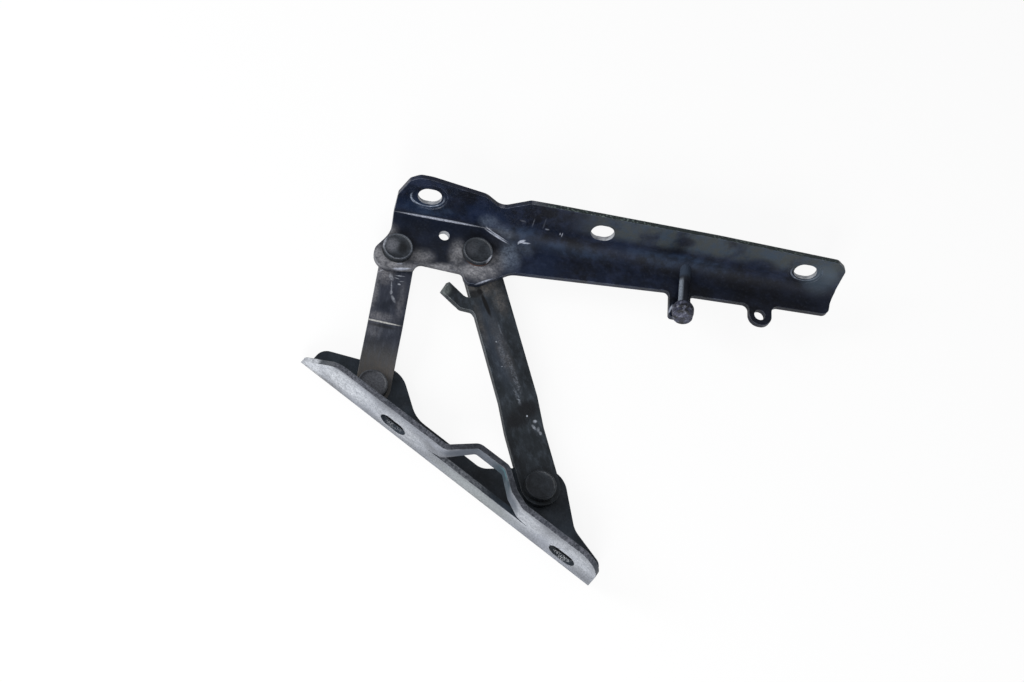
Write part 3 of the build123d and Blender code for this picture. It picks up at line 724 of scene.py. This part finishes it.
# The heights of a rivet's tail, of its clamped sheet's back and front, and of its head, in mm.
body_levels = (-17.4, -15, -11.5, -5.9)
bonnet_levels = (-8.75, -6.35, -2.35, 2.75)
rivets = [
    turned("headed_rivet_a", rivet_profile(*body_levels, tail=4, shoulder=5, head=9.2), pivot_a),
    turned("headed_rivet_b", rivet_profile(*body_levels, tail=4, shoulder=5, head=9.6), pivot_b),
    turned("headed_rivet_c", rivet_profile(*bonnet_levels, tail=2.8, shoulder=3.2, head=9.5), pivot_c),
    turned("headed_rivet_d", rivet_profile(*bonnet_levels, tail=4, shoulder=5, head=9.6), pivot_d),
]
carried = (
    ("short_link_body_rivet", "body"),
    ("long_link_body_rivet", "body"),
    ("short_link_bonnet_rivet", "short_link"),
    ("long_link_bonnet_rivet", "long_link"),
)
for rivet, (node, carrier) in zip(rivets, carried):
    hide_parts(node)
    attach(rivet, carrier)

painted_steel = new_material("painted_steel_rivet")
tree = painted_steel.node_tree
place = millimetres(tree)
grit = road_grit(tree, place, 1.2)
coat = over(tree, "#171b20", "#292e34", clouds(tree, place, 5, 0.4, 0.66))
coat = over(tree, coat, "#474c54", grit, 0.2)

# Dust lies on head A and in the dish of C, a little of it on D, and painted shade darkens the right side
# of C's dish.
dust = [
    ((*pivot_a, -3), (14, 14, 6), 0, 0.85),
    ((-137.0, 93.5, 5.5), (6.5, 7.5, 3), 0, 0.9),
    ((-98.0, 126.5, 5.5), (6, 8, 3), 0, 0.2),
]
coat = over(tree, coat, "#6a6c73", marks(tree, place, dust), between(tree, grit, 0.4, 1.0))
coat = over(tree, coat, "#0d0f13", marks(tree, place, [((-130.4, 97.0, 5.2), (4.2, 5.5, 3), 20, 0.85)]))

# The thin rims are rubbed pale, but less so on head A and on most of head D, which keep their
# paint, and a painted highlight glints on one stretch of rim each on D and C.
painted = [((*pivot_a, -3), (14, 14, 8), 0, 0.75), ((-95.4, 128.4, 5.5), (10.2, 11.5, 6), 0, 0.75)]
worn = between(tree, marks(tree, place, painted, edge=0.15), 1.0, 0.0)
on_rim = rise(tree, place, "Z", 5.5, 5.8)
coat = over(tree, coat, "#757b86", on_rim, between(tree, grit, 0.1, 0.45), worn)
glints = [((-85.1, 128.4, 4.8), (0.9, 5.5, 3), 2, 1.0), ((-141.0, 92.0, 5.0), (1.2, 5, 3), 20, 0.5)]
coat = over(tree, coat, "#b4b8c2", marks(tree, place, glints), between(tree, grit, 0.5, 1.0))
colour = over(tree, coat, "#848992", rubbed(tree, 0.5), between(tree, grit, 0.15, 0.5), worn)
paint(painted_steel, rivets, colour, 0.42, grit, 0.06, round_off=0.3, ior=1.4)


# Washers
# Thin flat steel washers that turn under the rivet heads, painted over, with rust showing at D.
rusted_steel = new_material("rusted_steel_washer")
tree = rusted_steel.node_tree
place = millimetres(tree)
grit = clouds(tree, place, 1.0, 0.35, 0.65, detail=6, rough=0.7)
steel = over(tree, "#17191b", "#26282a", grit)
rust = [((-88.5, 122.0, 2.3), (10, 6, 3), 35, 0.9)]
steel = over(tree, steel, "#5b3d33", marks(tree, place, rust), between(tree, grit, 0.4, 1.0))
washers = [frame["nodes"][node.replace("rivet", "washer")] for node, carrier in carried]
paint(rusted_steel, washers, steel, 0.5, grit, 0.03, round_off=0.2, ior=1.4)


# Bushes and sleeve
# Flanged bushes of sintered bronze, pressed into the sheets that turn on the rivets. Sintering
# leaves a dull, finely pored metal. The pores are drawn at 0.6 mm, coarser than they are, to show.
sintered_bronze = new_material("sintered_bronze_bush")
tree = sintered_bronze.node_tree
place = millimetres(tree)
pores = clouds(tree, place, 0.6, 0.35, 0.65, detail=3)
bronze = over(tree, "#7d6440", "#4e3f2c", clouds(tree, place, 3, 0.45, 0.65))
bush_nodes = (
    "short_link_body_bush",
    "long_link_body_bush",
    "long_link_bonnet_bush",
    "short_link_bonnet_sleeve",
)
bushes = [frame["nodes"][node] for node in bush_nodes]
paint(sintered_bronze, bushes, bronze, 0.45, pores, 0.03, round_off=0.2, metallic=1.0)


# Stop stud
# A plain steel pin welded into the bracket's bend and painted with it. A pale stripe of highlight is
# painted along one side of its lower part; the upper part, in the flange's shade, gets none.
satin_electrocoat = new_material("satin_electrocoat_stop_stud")
tree = satin_electrocoat.node_tree
place = millimetres(tree, pivot_d, bonnet_turn)
grit = road_grit(tree, place, 1.3)
coat = over(tree, "#10131b", "#1b1f28", clouds(tree, place, 6, 0.4, 0.66))
coat = over(tree, coat, "#2f3a4a", rise(tree, place, "Y", 4, 9))
lower = rise(tree, place, "Y", 6, 1)
stripe_side = (-0.79, -0.57, 0.15)
highlight_stripe = facing(tree, stripe_side, 0.42, 0.78)
coat = over(tree, coat, "#8d96a2", highlight_stripe, lower, between(tree, grit, 0.5, 0.95))
roughness = between(tree, lower, 0.85, 0.4)
paint(satin_electrocoat, [frame["nodes"]["stop_stud"]], coat, roughness, grit, 0.06, ior=1.4)


# Stud cap
# A moulded hard rubber barrel pushed on the pin's end, which lands on the body bracket's strap.
# Its dark blue-grey skin is mottled with pale dust and dark grease.
hard_rubber = new_material("hard_rubber_cap")
tree = hard_rubber.node_tree
place = millimetres(tree, pivot_d, bonnet_turn)
grit = road_grit(tree, place, 1.3)
rubber = over(tree, "#090b13", "#323548", clouds(tree, place, 4, 0.42, 0.58, detail=8, shift=3))
rubber = over(tree, rubber, "#7b7e8f", clouds(tree, place, 2.6, 0.5, 0.64, shift=7), grit)
rubber = over(tree, rubber, "#8a8d99", rubbed(tree, 0.5), between(tree, grit, 0.1, 0.5))
paint(hard_rubber, [frame["nodes"]["stud_cap"]], rubber, 0.5, grit, 0.1, round_off=0.3)
